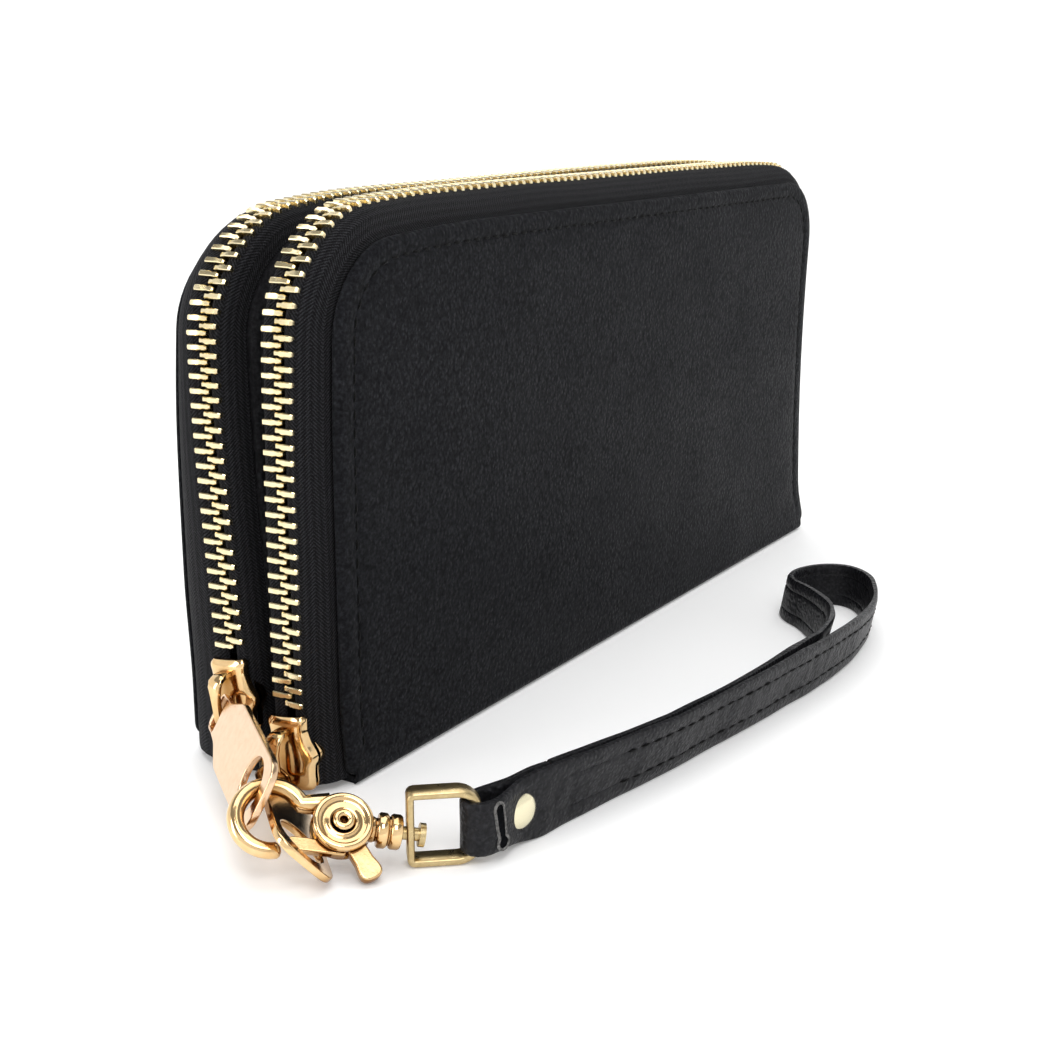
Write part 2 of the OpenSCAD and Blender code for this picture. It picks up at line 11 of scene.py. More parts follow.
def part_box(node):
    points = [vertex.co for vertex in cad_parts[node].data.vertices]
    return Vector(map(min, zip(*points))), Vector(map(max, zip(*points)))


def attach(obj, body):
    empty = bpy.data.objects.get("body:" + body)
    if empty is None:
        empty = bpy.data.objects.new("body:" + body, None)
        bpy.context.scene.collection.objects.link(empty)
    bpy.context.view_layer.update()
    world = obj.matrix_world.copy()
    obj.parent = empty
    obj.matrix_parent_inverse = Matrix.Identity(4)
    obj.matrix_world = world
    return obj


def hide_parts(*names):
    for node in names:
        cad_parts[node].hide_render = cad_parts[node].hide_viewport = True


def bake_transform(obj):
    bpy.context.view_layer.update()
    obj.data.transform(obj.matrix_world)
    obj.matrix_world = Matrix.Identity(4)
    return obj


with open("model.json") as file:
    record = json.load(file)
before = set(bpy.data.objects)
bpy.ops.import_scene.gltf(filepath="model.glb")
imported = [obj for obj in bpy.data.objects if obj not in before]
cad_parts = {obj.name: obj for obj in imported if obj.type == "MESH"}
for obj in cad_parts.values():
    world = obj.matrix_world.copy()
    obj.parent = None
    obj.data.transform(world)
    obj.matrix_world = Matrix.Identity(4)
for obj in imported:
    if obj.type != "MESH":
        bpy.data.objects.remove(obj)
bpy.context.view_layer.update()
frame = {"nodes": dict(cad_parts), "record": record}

MM = 0.001
HOME = {n: b for b, ns in frame["record"]["behaviour"]["bodies"].items() for n in ns}

# ---------- shared dimensions, millimetres ----------

HALF_LEN = 98.0
COVER_H = 91.0
CORNER_R = 15.0
FOOT_R = 3.0
COVER_LOW = 1.8
CORNER_X = HALF_LEN - CORNER_R
CORNER_Z = COVER_H - CORNER_R
FRONT_ZIP_Y = -9.4
BACK_ZIP_Y = 6.6
BACK_LEAN = math.tan(math.radians(4.1))
ZIP_RISE = 4.5
PITCH = 2.54
SLIDER_LEN = 12.5
END_PINCH = 2.9
END_FLARE = 1.2
EASE_X, EASE_Z = 94, 88
PANEL_Y = 15.55
FIRST_STITCH, STITCH_STEP = 1.6, 3.1
SLIDER_TIP = -8
FRONT_SLIDER_Z, BACK_SLIDER_Z = 1.0, 8.6
LATHE_SIDES = 48


def turned(axis, degrees):
    return Matrix.Rotation(math.radians(degrees), 4, axis)


def placed(at, roll, dip, yaw):
    return (
        Matrix.Translation(at) @ turned("Z", yaw) @ turned("Y", dip) @ turned("X", roll)
    )


HOOK_YAW = -49.9
HOOK = placed((-120.7, -33.9, 7.0), 40.6, 10.9, HOOK_YAW)
FRONT_PULL = placed((-107.9, -10.1, 5.7), 132.5, 0.3, 227.7)
BACK_PULL = placed((-107.7, 1.3, 13.0), -117.4, 2.3, 232.1)


def smooth_step(t):
    t = min(1.0, max(0.0, t))
    return t * t * (3 - 2 * t)


def between(table, x):
    """Straight-line lookup in a list of (x, value) pairs."""
    if x <= table[0][0]:
        return table[0][1]
    for (x0, v0), (x1, v1) in zip(table, table[1:]):
        if x <= x1:
            return v0 + (v1 - v0) * (x - x0) / (x1 - x0)
    return table[-1][1]


def wobble(x, y, z, size, amount):
    return amount * noise.noise(Vector((x / size, y / size, z / size)))


# ---------- mesh building ----------


def loft(rings, caps=True):
    """Vertices, faces and per-corner UVs (millimetres) through closed rings of points."""
    count = len(rings[0])
    points = [Vector(p) for ring in rings for p in ring]
    middle = rings[len(rings) // 2]
    around = [0.0]
    for j in range(count):
        step = (Vector(middle[(j + 1) % count]) - Vector(middle[j])).length
        around.append(around[-1] + step)
    along = [0.0]
    for a, b in zip(rings, rings[1:]):
        step = sum((Vector(p) - Vector(q)).length for p, q in zip(a, b)) / count
        along.append(along[-1] + step)
    faces, uvs = [], []
    for i in range(len(rings) - 1):
        for j in range(count):
            k = (j + 1) % count
            faces.append(
                (i * count + j, i * count + k, (i + 1) * count + k, (i + 1) * count + j)
            )
            uvs.append(
                [
                    (around[j], along[i]),
                    (around[j + 1], along[i]),
                    (around[j + 1], along[i + 1]),
                    (around[j], along[i + 1]),
                ]
            )
    if caps:
        last = (len(rings) - 1) * count
        for ids, v in (
            (tuple(range(count))[::-1], along[0]),
            (tuple(range(last, last + count)), along[-1]),
        ):
            faces.append(ids)
            uvs.append([(around[i % count], v) for i in ids])
    return points, faces, uvs


def make(name, parts, material, body, replaces=(), sharp=35, turn=None):
    """One object out of several (points, faces, uvs) parts."""
    points, faces, uvs = [], [], []
    for part_points, part_faces, part_uvs in parts:
        base = len(points)
        points += [Vector(p) * MM for p in part_points]
        faces += [tuple(i + base for i in face) for face in part_faces]
        uvs += part_uvs
    mesh = bpy.data.meshes.new(name)
    mesh.from_pydata(points, [], faces)
    layer = mesh.uv_layers.new(name="UVMap")
    flat = [c for face in uvs for corner in face for c in corner]
    layer.data.foreach_set("uv", flat)
    return finish_mesh(name, mesh, material, body, replaces, sharp, turn)


def finish_mesh(name, mesh, material, body, replaces, sharp, turn):
    """Turn the mesh (a matrix in millimetres) into a named piece that rides on a body."""
    if turn is not None:
        mesh.transform(Matrix.Scale(MM, 4) @ turn @ Matrix.Scale(1 / MM, 4))
    work = bmesh.new()
    work.from_mesh(mesh)
    bmesh.ops.recalc_face_normals(work, faces=work.faces)
    work.to_mesh(mesh)
    work.free()
    mesh.polygons.foreach_set("use_smooth", [True] * len(mesh.polygons))
    mesh.set_sharp_from_angle(angle=math.radians(sharp))
    mesh.materials.append(material)
    piece = bpy.data.objects.new(name, mesh)
    bpy.context.scene.collection.objects.link(piece)
    if body:
        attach(piece, body)
    if replaces:
        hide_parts(*replaces)
    return piece


def tube(path, radius, sides=14):
    """Round bar along a path; radius is one number, or one per point."""
    rings = []
    side = Vector((0, 0, 1))
    for i, p in enumerate(path):
        a = Vector(path[max(0, i - 1)])
        b = Vector(path[min(len(path) - 1, i + 1)])
        ahead = (b - a).normalized()
        side = (side - side.dot(ahead) * ahead).normalized()
        other = ahead.cross(side)
        r = radius[i] if isinstance(radius, (list, tuple)) else radius
        rings.append(
            [
                Vector(p)
                + r * math.cos(2 * math.pi * j / sides) * side
                + r * math.sin(2 * math.pi * j / sides) * other
                for j in range(sides)
            ]
        )
    return loft(rings)


def circle(cx, cy, r, count=40):
    return [
        (cx + r * math.cos(2 * math.pi * i / count), cy + r * math.sin(2 * math.pi * i / count))
        for i in range(count)
    ]


def arc(cx, cy, r, start, stop, steps):
    """Points on a circle from start to stop, in degrees, both ends included."""
    turns = (math.radians(start + (stop - start) * i / steps) for i in range(steps + 1))
    return [(cx + r * math.cos(a), cy + r * math.sin(a)) for a in turns]


def lathe(profile, place=Matrix.Identity(4)):
    """Closed solid of revolution about local Z from (radius, height) pairs."""
    return loft(
        [
            [place @ Vector((x, y, h)) for x, y in circle(0, 0, r, LATHE_SIDES)]
            for r, h in profile
        ]
    )


def ring_lathe(profile, sides=LATHE_SIDES):
    """Solid of revolution about Z from a closed profile that misses the axis."""
    rings = [
        [
            (r * math.cos(2 * math.pi * i / sides), r * math.sin(2 * math.pi * i / sides), h)
            for r, h in profile
        ]
        for i in range(sides)
    ]
    rings.append(rings[0])
    return loft(rings, caps=False)


def plate(name, outlines, thick, edge, place, material, body, replaces=()):
    """Flat plate with rounded edges; outlines are closed lists of (x, y)."""
    curve = bpy.data.curves.new(name, "CURVE")
    curve.dimensions = "2D"
    curve.fill_mode = "BOTH"
    curve.extrude = (thick / 2 - edge) * MM
    curve.bevel_depth = edge * MM
    curve.bevel_resolution = 3
    curve.offset = -edge * MM
    for outline in outlines:
        spline = curve.splines.new("POLY")
        spline.points.add(len(outline) - 1)
        spline.use_cyclic_u = True
        for point, (x, y) in zip(spline.points, outline):
            point.co = (x * MM, y * MM, 0, 1)
    helper = bpy.data.objects.new(name + "_outline", curve)
    bpy.context.scene.collection.objects.link(helper)
    bpy.context.view_layer.update()
    mesh = bpy.data.meshes.new_from_object(
        helper.evaluated_get(bpy.context.evaluated_depsgraph_get())
    )
    bpy.data.objects.remove(helper)
    mesh.materials.clear()
    mesh.name = name
    finish_mesh(name, mesh, material, body, replaces, 28, place)


# ---------- materials ----------

WEAVE_COLUMN, WEAVE_DEPTH = 2.2, 0.1
# CREVICE is how far the ambient occlusion reaches that paints shade into metal crevices.
CREVICE = 5.0


class Shader:
    """A principled material with a few short-hands for procedural detail."""

    def __init__(self, name, color, rough, metal=0.0):
        self.material = bpy.data.materials.new(name)
        self.material.use_nodes = True
        self.tree = self.material.node_tree
        self.bsdf = self.tree.nodes["Principled BSDF"]
        self.set("Base Color", (*color, 1))
        self.set("Roughness", rough)
        self.set("Metallic", metal)

    def set(self, socket, value):
        self.bsdf.inputs[socket].default_value = value

    def add(self, kind, inputs=None, **props):
        made = self.tree.nodes.new(kind)
        for key, value in props.items():
            setattr(made, key, value)
        for key, value in (inputs or {}).items():
            if isinstance(value, bpy.types.NodeSocket):
                self.tree.links.new(value, made.inputs[key])
            else:
                made.inputs[key].default_value = value
        return made

    def link(self, output, socket):
        self.tree.links.new(output, self.bsdf.inputs[socket])

    def place(self, kind="Object", scale=(1000, 1000, 1000)):
        """Texture coordinates in millimetres: of the object, or along its UV map."""
        where = self.add("ShaderNodeTexCoord")
        return self.add(
            "ShaderNodeMapping", {"Vector": where.outputs[kind], "Scale": scale}
        ).outputs[0]

    def noise(self, vector, scale, detail=3.0):
        return self.add(
            "ShaderNodeTexNoise", {"Vector": vector, "Scale": scale, "Detail": detail}
        ).outputs["Fac"]

    def fit(self, value, a, b, c, d):
        return self.add(
            "ShaderNodeMapRange",
            {"Value": value, "From Min": a, "From Max": b, "To Min": c, "To Max": d},
        ).outputs[0]

    def maths(self, how, a, b):
        return self.add("ShaderNodeMath", {0: a, 1: b}, operation=how).outputs[0]

    def colors(self, value, low, high):
        ends = [(*c, 1) if isinstance(c, tuple) else c for c in (low, high)]
        return self.add(
            "ShaderNodeMix", {"Factor": value, 6: ends[0], 7: ends[1]}, data_type="RGBA"
        ).outputs[2]

    def bump(self, height, depth, strength=1.0, under=None):
        inputs = {"Height": height, "Distance": depth * MM, "Strength": strength}
        if under is not None:
            inputs["Normal"] = under
        return self.add("ShaderNodeBump", inputs).outputs[0]


def leather(name, color, rough, cell=0.85, depth=0.11, shine=0.025):
    """Black pebbled leather: cells with soft creases, fine grain, uneven polish."""
    s = Shader(name, color, rough)
    s.set("Specular IOR Level", shine)
    mm = s.place()
    drift = s.add(
        "ShaderNodeTexNoise", {"Vector": mm, "Scale": 0.7, "Detail": 2.0}
    ).outputs["Color"]
    bent = s.add(
        "ShaderNodeVectorMath",
        {0: drift, 1: (0.9, 0.9, 0.9), 2: mm},
        operation="MULTIPLY_ADD",
    ).outputs[0]
    cells = s.add(
        "ShaderNodeTexVoronoi",
        {"Vector": bent, "Scale": 1 / cell, "Randomness": 1.0},
        feature="SMOOTH_F1",
    ).outputs["Distance"]
    pebble = s.fit(cells, 0.1, 0.75, 1.0, 0.0)
    fine = s.noise(mm, 1.9, 4.0)
    broad = s.noise(mm, 0.06, 3.0)
    first = s.bump(fine, depth * 0.55, 0.8)
    s.link(s.bump(pebble, depth, 1.0, first), "Normal")
    uneven = s.maths("ADD", s.fit(broad, 0.3, 0.7, -0.05, 0.06), rough)
    s.link(
        s.maths("ADD", uneven, s.fit(pebble, 0.0, 1.0, 0.1, -0.03)), "Roughness"
    )
    grain = s.maths("MULTIPLY", s.fit(fine, 0.35, 0.68, 0.2, 1), s.fit(pebble, 0, 1, 0.35, 1))
    worn = tuple(3.0 * c for c in color)
    s.link(s.colors(grain, tuple(0.38 * c for c in color), worn), "Base Color")
    return s.material


def woven(name, color, light, thread, rough=0.8):
    """Woven tape: herringbone columns along its length, and a soft sheen."""
    s = Shader(name, color, rough)
    s.set("Specular IOR Level", 0.1)
    s.set("Sheen Weight", 0.02)
    s.set("Sheen Roughness", 0.45)
    uv = s.place("UV", (1, 1, 1))
    split = s.add("ShaderNodeSeparateXYZ", {0: uv})
    turns = 2 * math.pi / thread
    across = s.maths("PINGPONG", split.outputs[0], WEAVE_COLUMN)
    slanted = s.maths("ADD", split.outputs[1], across)
    one = s.maths("SINE", s.maths("MULTIPLY", slanted, turns), 0.0)
    two = s.maths("SINE", s.maths("MULTIPLY", split.outputs[0], turns * 0.5), 0.0)
    fuzz = s.noise(uv, 4.0, 4.0)
    weave = s.maths("ADD", s.fit(one, -1, 1, 0, 0.7), s.fit(two, -1, 1, 0, 0.3))
    height = s.maths("ADD", weave, s.fit(fuzz, 0.3, 0.7, 0, 0.9))
    s.link(s.bump(height, WEAVE_DEPTH), "Normal")
    s.link(s.colors(s.fit(height, 0.75, 1.7, 0, 1), color, light), "Base Color")
    return s.material


def metal(name, color, rough, brushed=0.0, blotch=0.06, tint=None, crevice_shade=None):
    """Plated metal with handling marks; brushed adds fine lines, and a given shade colour paints
    shade into crevices.
    """
    s = Shader(name, color, rough, 1.0)
    mm = s.place()
    marks = s.noise(mm, 0.9, 5.0)
    hair = s.noise(s.place(scale=(300, 300, 9000)), 1.0, 2.0)
    level = s.maths("ADD", s.fit(marks, 0.35, 0.7, 0, blotch), rough)
    s.link(level, "Roughness")
    tone = s.colors(s.fit(marks, 0.3, 0.75, 0, 1), color, tint or color)
    # Painted shade: the colour turns a deep amber where ambient occlusion finds crevices and
    # recesses.
    if crevice_shade:
        open_air = s.add("ShaderNodeAmbientOcclusion", {"Distance": CREVICE * MM}).outputs["AO"]
        tone = s.colors(s.fit(open_air, 0.4, 1.0, 0, 1), crevice_shade, tone)
    s.link(tone, "Base Color")
    first = s.bump(hair, 0.02, brushed) if brushed else None
    s.link(s.bump(s.noise(mm, 2.2, 2.0), 0.012, 0.6, first), "Normal")
    return s.material


def cloth(name, color):
    """Plain-woven lining with a soft sheen."""
    s = Shader(name, color, 0.85)
    s.set("Sheen Weight", 0.3)
    mm = s.place()
    split = s.add("ShaderNodeSeparateXYZ", {0: mm})
    one = s.maths("SINE", s.maths("MULTIPLY", split.outputs[0], 11.0), 0.0)
    two = s.maths("SINE", s.maths("MULTIPLY", split.outputs[2], 11.0), 0.0)
    s.link(s.bump(s.maths("ADD", one, two), 0.04), "Normal")
    tone = s.fit(s.noise(mm, 0.3), 0.3, 0.7, 0, 1)
    s.link(s.colors(tone, color, tuple(1.4 * c for c in color)), "Base Color")
    return s.material


def board(name, color):
    """Fibrous card."""
    s = Shader(name, color, 0.9)
    mm = s.place()
    fibre = s.noise(mm, 1.4, 6.0)
    s.link(s.bump(fibre, 0.06), "Normal")
    s.link(s.colors(fibre, tuple(0.75 * c for c in color), color), "Base Color")
    return s.material


BLACK = (0.0072, 0.0075, 0.0086)
leather_black = leather("leather_black", BLACK, 0.4)
leather_strap = leather("leather_strap", (0.008, 0.008, 0.0092), 0.34, 0.7, 0.13, 0.14)
leather_edge = leather("leather_edge", (0.005, 0.005, 0.0055), 0.5, 0.8, 0.05)
# Near-black leather for the sheet that paints shade inside the keyhole slot.
slot_painted_shade = leather("slot_painted_shade", (0.0012, 0.0014, 0.002), 0.6, 0.8, 0.05)
raw_edge = leather("raw_edge", (0.09, 0.088, 0.086), 0.7, 0.5, 0.08)
thread_black = woven("thread_black", (0.001, 0.001, 0.001), (0.005, 0.005, 0.005), 0.35, 0.6)
tape_black = woven("tape_black", (0.002, 0.002, 0.0025), (0.03, 0.03, 0.034), 0.62)
tooth_gold = metal("tooth_gold", (0.88, 0.77, 0.50), 0.17, 0, 0.1, (0.80, 0.66, 0.38))
# The last colour, a deep amber, is painted shade for the crevices of the gold parts.
bright_gold = metal("bright_gold", (0.88, 0.63, 0.34), 0.09, 0, 0.06, (0.84, 0.57, 0.27),
                    (0.28, 0.12, 0.02))
pull_gold = metal("pull_gold", (0.80, 0.57, 0.38), 0.16, 0, 0.08, (0.76, 0.51, 0.31))
brass = metal("brass", (0.60, 0.47, 0.25), 0.27, 0.5, 0.12, (0.48, 0.36, 0.18))
rivet_gold = metal("rivet_gold", (0.80, 0.74, 0.52), 0.2, 0, 0.08)
steel = metal("steel", (0.55, 0.55, 0.56), 0.3)
lining_cloth = cloth("lining_cloth", (0.02, 0.02, 0.022))
card_board = board("card_board", (0.35, 0.29, 0.21))

FINISH = {
    "black_leather": leather_black,
    "black_lining": lining_cloth,
    "board": card_board,
    "black_tape": tape_black,
    "pale_gold_teeth": tooth_gold,
    "gold": bright_gold,
    "dark_gold": brass,
    "spring_steel": steel,
}
for cad in frame["nodes"].values():
    for holder in cad.material_slots:
        if holder.material and holder.material.name in FINISH:
            holder.material = FINISH[holder.material.name]


# ---------- wallet shell ----------


def settled(x, y, z):
    """Small unevenness of the sewn shell, which hand sewing and use leave."""
    # The right end is pinched halfway up and flares at its foot.
    far = smooth_step((x - 30) / 68)
    x -= END_PINCH * math.sin(math.pi * min(1.0, max(0.0, (z - 3) / 84))) * far
    x += END_FLARE * smooth_step((12 - z) / 10) * far
    # Both top corners are eased inwards, most at the back on the left.
    left = math.exp(-((x + EASE_X) ** 2 + (z - EASE_Z) ** 2) / 420)
    right = math.exp(-((x - EASE_X) ** 2 + (z - EASE_Z) ** 2) / 300)
    right *= 1 - smooth_step((abs(y) - 12) / 3.5)
    rear = smooth_step((y + 4) / 8)
    # The covers lean in at the front foot and bulge at the back on the left.
    edge = smooth_step((abs(y) - 13) / 3)
    foot = -0.8 * (1 - rear) * smooth_step((14 - z) / 14)
    bulge = 0.7 * rear * smooth_step((z - 12) / 20) * smooth_step((-60 - x) / 30)
    x += (1.2 + 0.9 * rear) * left - 1.5 * right
    z -= (1.5 + 0.9 * rear) * left + 1.5 * right
    z -= 0.7 * rear * smooth_step((z - 70) / 20) * math.exp(-(((x + 50) / 55) ** 2))
    return (x, y + (foot + bulge) * edge, z)


def outline(inset):
    """Cover outline as (x, z), foot left, up, over and down; always the same count."""
    across = inset + 1.2 * min(1.0, max(0.0, inset) / 3.2)
    top = max(CORNER_R - inset, 1.5)
    foot = max(FOOT_R - inset, 0.4)
    right, low, high = HALF_LEN - across, COVER_LOW + inset, COVER_H - inset

    def run(a, b, count):
        shares = (i / count for i in range(count))
        return [(a[0] + (b[0] - a[0]) * t, a[1] + (b[1] - a[1]) * t) for t in shares]

    return (
        run((-right, low + foot), (-right, high - top), 26)
        + arc(-right + top, high - top, top, 180, 90, 12)[:-1]
        + run((-right + top, high), (right - top, high), 56)
        + arc(right - top, high - top, top, 90, 0, 12)[:-1]
        + run((right, high - top), (right, low + foot), 26)
        + arc(right - foot, low + foot, foot, 0, -90, 5)[:-1]
        + run((right - foot, low), (-right + foot, low), 56)
        + arc(-right + foot, low + foot, foot, -90, -180, 5)[:-1]
    )


SEAM_POINTS = 132
COVER_PROFILE = [
    (1.2, 15.6), (0.35, 15.75), (0.0, 16.15), (0.06, 16.6), (0.5, 17.0), (1.2, 17.17),
    (2.2, 17.2), (2.9, 17.08), (3.3, 16.93), (3.7, 17.08), (4.4, 17.2), (6, 17.26),
    (9, 17.3), (13, 17.36), (18, 17.42), (24, 17.46), (30, 17.5), (36, 17.5), (41, 17.5),
]


def cover_leather(name, side, node):
    """Outer leather with a rolled edge, a seam groove and soft unevenness."""
    rings = []
    for inset, y in COVER_PROFILE:
        ring = []
        for x, z in outline(inset):
            wave = wobble(x, side * 40, z, 34, 0.28) + wobble(x, side * 9, z, 11, 0.07)
            wave *= 1 - smooth_step((inset - 24) / 14)
            foot = 1 - smooth_step((z - 3.5) / 3.5)
            flat = max(y, 17.17) if inset > 0.6 else y
            out = y + (flat - y) * foot + wave * smooth_step((inset - 1) / 5)
            ring.append(settled(x, side * out, z))
        rings.append(ring)
    make(name, [loft(rings)], leather_black, HOME[node], (node,))


def cover_board(name, side, node):
    """Stiffening sheet between leather and lining."""
    rings = []
    for y in (15.22, 15.88):
        rings.append([settled(x, side * y, z) for x, z in outline(3.2)])
    make(name, [loft(rings)], card_board, HOME[node], (node,))


STITCH_ENDS = [(0.15, 1.0), (0.38, 0.85), (0.5, 0.35)]
STITCH_SHAPE = [(-t, r) for t, r in STITCH_ENDS[::-1]] + STITCH_ENDS
STITCH_SIDES = 7


def capsule(middle, along, out, length, radius):
    """A stitch: a short rounded bar sunk at both ends."""
    rings = []
    across = along.cross(out)
    for t, r in STITCH_SHAPE:
        centre = middle + along * (t * length) - out * (radius * 1.1 * (2 * t) ** 2)
        turns = (2 * math.pi * k / STITCH_SIDES for k in range(STITCH_SIDES))
        rings.append(
            [centre + radius * r * (math.cos(a) * across + math.sin(a) * out) for a in turns]
        )
    return loft(rings)


def cover_stitches(name, side, body):
    """Stitches sunk in the seam groove, up one side, over and down the other."""
    path = [Vector((x, 0, z)) for x, z in outline(3.3)[:SEAM_POINTS]]
    parts = []
    travelled, goal = 0.0, FIRST_STITCH
    for a, b in zip(path, path[1:]):
        step = (b - a).length
        while travelled + step >= goal:
            p = a + (b - a) * ((goal - travelled) / step)
            wave = wobble(p.x, side * 40, p.z, 34, 0.28)
            y = side * (17.0 + 0.46 * wave)
            middle = Vector(settled(p.x, y, p.z))
            slip = wobble(p.x, 3, p.z, 2, 0.12)
            ahead = (b - a).normalized()
            lean = (ahead + 0.09 * ahead.cross(Vector((0, side, 0)))).normalized()
            parts.append(
                capsule(middle, lean, Vector((0, side, 0)), 2.35 + slip, 0.27)
            )
            goal += STITCH_STEP
        travelled += step
    make(name, parts, thread_black, body, sharp=60)


def back_zip_y(x, z):
    return BACK_ZIP_Y - (max(0.0, CORNER_Z - z) * BACK_LEAN if x < 0 else 0.0)


def corner_spot(side, a):
    """Place and outward direction at angle a on the left (-1) or right (1) top corner."""
    x, z = math.cos(a), math.sin(a)
    return (side * CORNER_X + CORNER_R * x, CORNER_Z + CORNER_R * z, x, z)


def rim_stations(z_left, z_right, step=2.0):
    """Stations (x, z, outward x, outward z) round the cover edge."""
    stations = []
    count = max(2, round((CORNER_Z - z_left) / step))
    for i in range(count):
        stations.append((-HALF_LEN, z_left + (CORNER_Z - z_left) * i / count, -1.0, 0.0))
    stations += [corner_spot(-1, math.radians(180 - 90 * i / 14)) for i in range(14)]
    count = round(2 * CORNER_X / step)
    for i in range(count):
        stations.append((-CORNER_X + 2 * CORNER_X * i / count, COVER_H, 0.0, 1.0))
    stations += [corner_spot(1, math.radians(90 - 90 * i / 14)) for i in range(14)]
    count = max(2, round((CORNER_Z - z_right) / step))
    for i in range(count + 1):
        stations.append((HALF_LEN, CORNER_Z + (z_right - CORNER_Z) * i / count, 1.0, 0.0))
    return stations


OUTER_TAPE = [
    (4.75, 1.2), (4.95, 2.1), (4.85, 2.9), (4.45, 3.7), (3.7, 4.5), (2.6, 5.2),
    (1.2, 5.75), (-0.4, 6.05), (-1.8, 6.1),
]
INNER_TAPE = [
    (4.75, 1.2), (4.95, 2.1), (4.8, 2.9), (4.2, 3.6), (3.1, 4.2), (1.8, 4.6),
    (0.3, 4.85), (-1.2, 4.95), (-2.4, 4.95),
]


def tape(name, zip_at, side, profile, z_left, node, panel=None):
    """One side of a zip tape, flat by the teeth and rolled down to its panel."""
    rings = []
    flat, edge = 2.2, profile[-1][1]
    full = profile + [(e - 0.5, dy - 0.35) for e, dy in reversed(profile)]
    for x, z, nx, nz in rim_stations(z_left, 2.4):
        ring = []
        middle = zip_at(x, z)
        lift = wobble(x, side * 30 + middle, z, 22, 0.35)
        for e, dy in full:
            far = smooth_step((dy - 1.5) / 3)
            if panel is not None and dy > flat:
                dy = flat + (dy - flat) * (abs(panel - middle) - flat) / (edge - flat)
            reach = e + lift * far * smooth_step((e + 1) / 3)
            ring.append(settled(x + reach * nx, middle + side * dy, z + reach * nz))
        rings.append(ring)
    make(name, [loft(rings)], tape_black, HOME[node], (node,), 50)


TOOTH = [
    (-0.75, 0.3, 3.95, 5.05), (-0.35, 0.46, 3.65, 5.35), (0.45, 0.4, 3.6, 5.45),
    (0.9, 0.5, 3.4, 5.6), (2.75, 0.5, 3.4, 5.6), (3.1, 0.36, 3.65, 5.35),
]


def rim_walk(z_left, z_right, phase, gap):
    """Tooth places: (x, z, normal x, normal z) at even steps along the chain."""
    chain_r = CORNER_R + ZIP_RISE
    bend = math.radians(90) * chain_r
    left, top = CORNER_Z - z_left, 2 * CORNER_X
    total = left + 2 * bend + top + CORNER_Z - z_right
    spots = []
    s = gap + phase * PITCH
    while s < total - 0.6:
        if s < left:
            spots.append((-HALF_LEN, z_left + s, -1.0, 0.0))
        elif s < left + bend:
            spots.append(corner_spot(-1, math.pi - (s - left) / chain_r))
        elif s < left + bend + top:
            spots.append((-CORNER_X + s - left - bend, COVER_H, 0.0, 1.0))
        elif s < left + 2 * bend + top:
            spots.append(corner_spot(1, math.pi / 2 - (s - left - bend - top) / chain_r))
        else:
            spots.append((HALF_LEN, CORNER_Z - (s - left - 2 * bend - top), 1.0, 0.0))
        s += PITCH
    return spots


def teeth(name, zip_at, side, phase, z_left, node):
    """One row of metal teeth, each a lofted block with cut corners."""
    cut = 0.14
    parts = []
    for x, z, nx, nz in rim_walk(z_left, TEETH_END, phase, 0.6):
        middle = zip_at(x, z)
        skew = wobble(x, side * 5 + middle, z, 1.3, 0.09)
        rings = []
        for dy, half, e0, e1 in TOOTH:
            ring = []
            for t, e in (
                (-half, e0 + cut), (-half, e1 - cut), (-half + cut, e1), (half - cut, e1),
                (half, e1 - cut), (half, e0 + cut), (half - cut, e0), (-half + cut, e0),
            ):
                t += skew * dy * 0.4
                ring.append(
                    settled(x + e * nx + t * nz, middle + side * dy, z + e * nz - t * nx)
                )
            rings.append(ring)
        parts.append(loft(rings))
    make(name, parts, tooth_gold, HOME[node], (node,), 32)


def front_zip(x, z):
    return FRONT_ZIP_Y


FRONT_LOW, BACK_LOW, TEETH_END = 14.9, 22.5, 6.0
TAPE_LOW = 1.6
cover_leather("front_cover_leather", -1, "front_leather")
cover_leather("back_cover_leather", 1, "back_leather")
cover_board("front_board_sheet", -1, "front_board")
cover_board("back_board_sheet", 1, "back_board")
cover_stitches("front_cover_stitches", -1, "front_cover")
cover_stitches("back_cover_stitches", 1, "back_cover")
tape("front_outer_tape_cloth", front_zip, -1, OUTER_TAPE, TAPE_LOW, "front_outer_tape",
     -PANEL_Y)
tape("front_inner_tape_cloth", front_zip, 1, INNER_TAPE, TAPE_LOW, "front_inner_tape")
tape("back_outer_tape_cloth", back_zip_y, 1, OUTER_TAPE, TAPE_LOW, "back_outer_tape",
     PANEL_Y)
tape("back_inner_tape_cloth", back_zip_y, -1, INNER_TAPE, TAPE_LOW, "back_inner_tape")
teeth("front_outer_teeth_row", front_zip, -1, 0.0, FRONT_LOW, "front_outer_teeth")
teeth("front_inner_teeth_row", front_zip, 1, 0.5, FRONT_LOW, "front_inner_teeth")
teeth("back_outer_teeth_row", back_zip_y, 1, 0.0, BACK_LOW, "back_outer_teeth")
teeth("back_inner_teeth_row", back_zip_y, -1, 0.5, BACK_LOW, "back_inner_teeth")


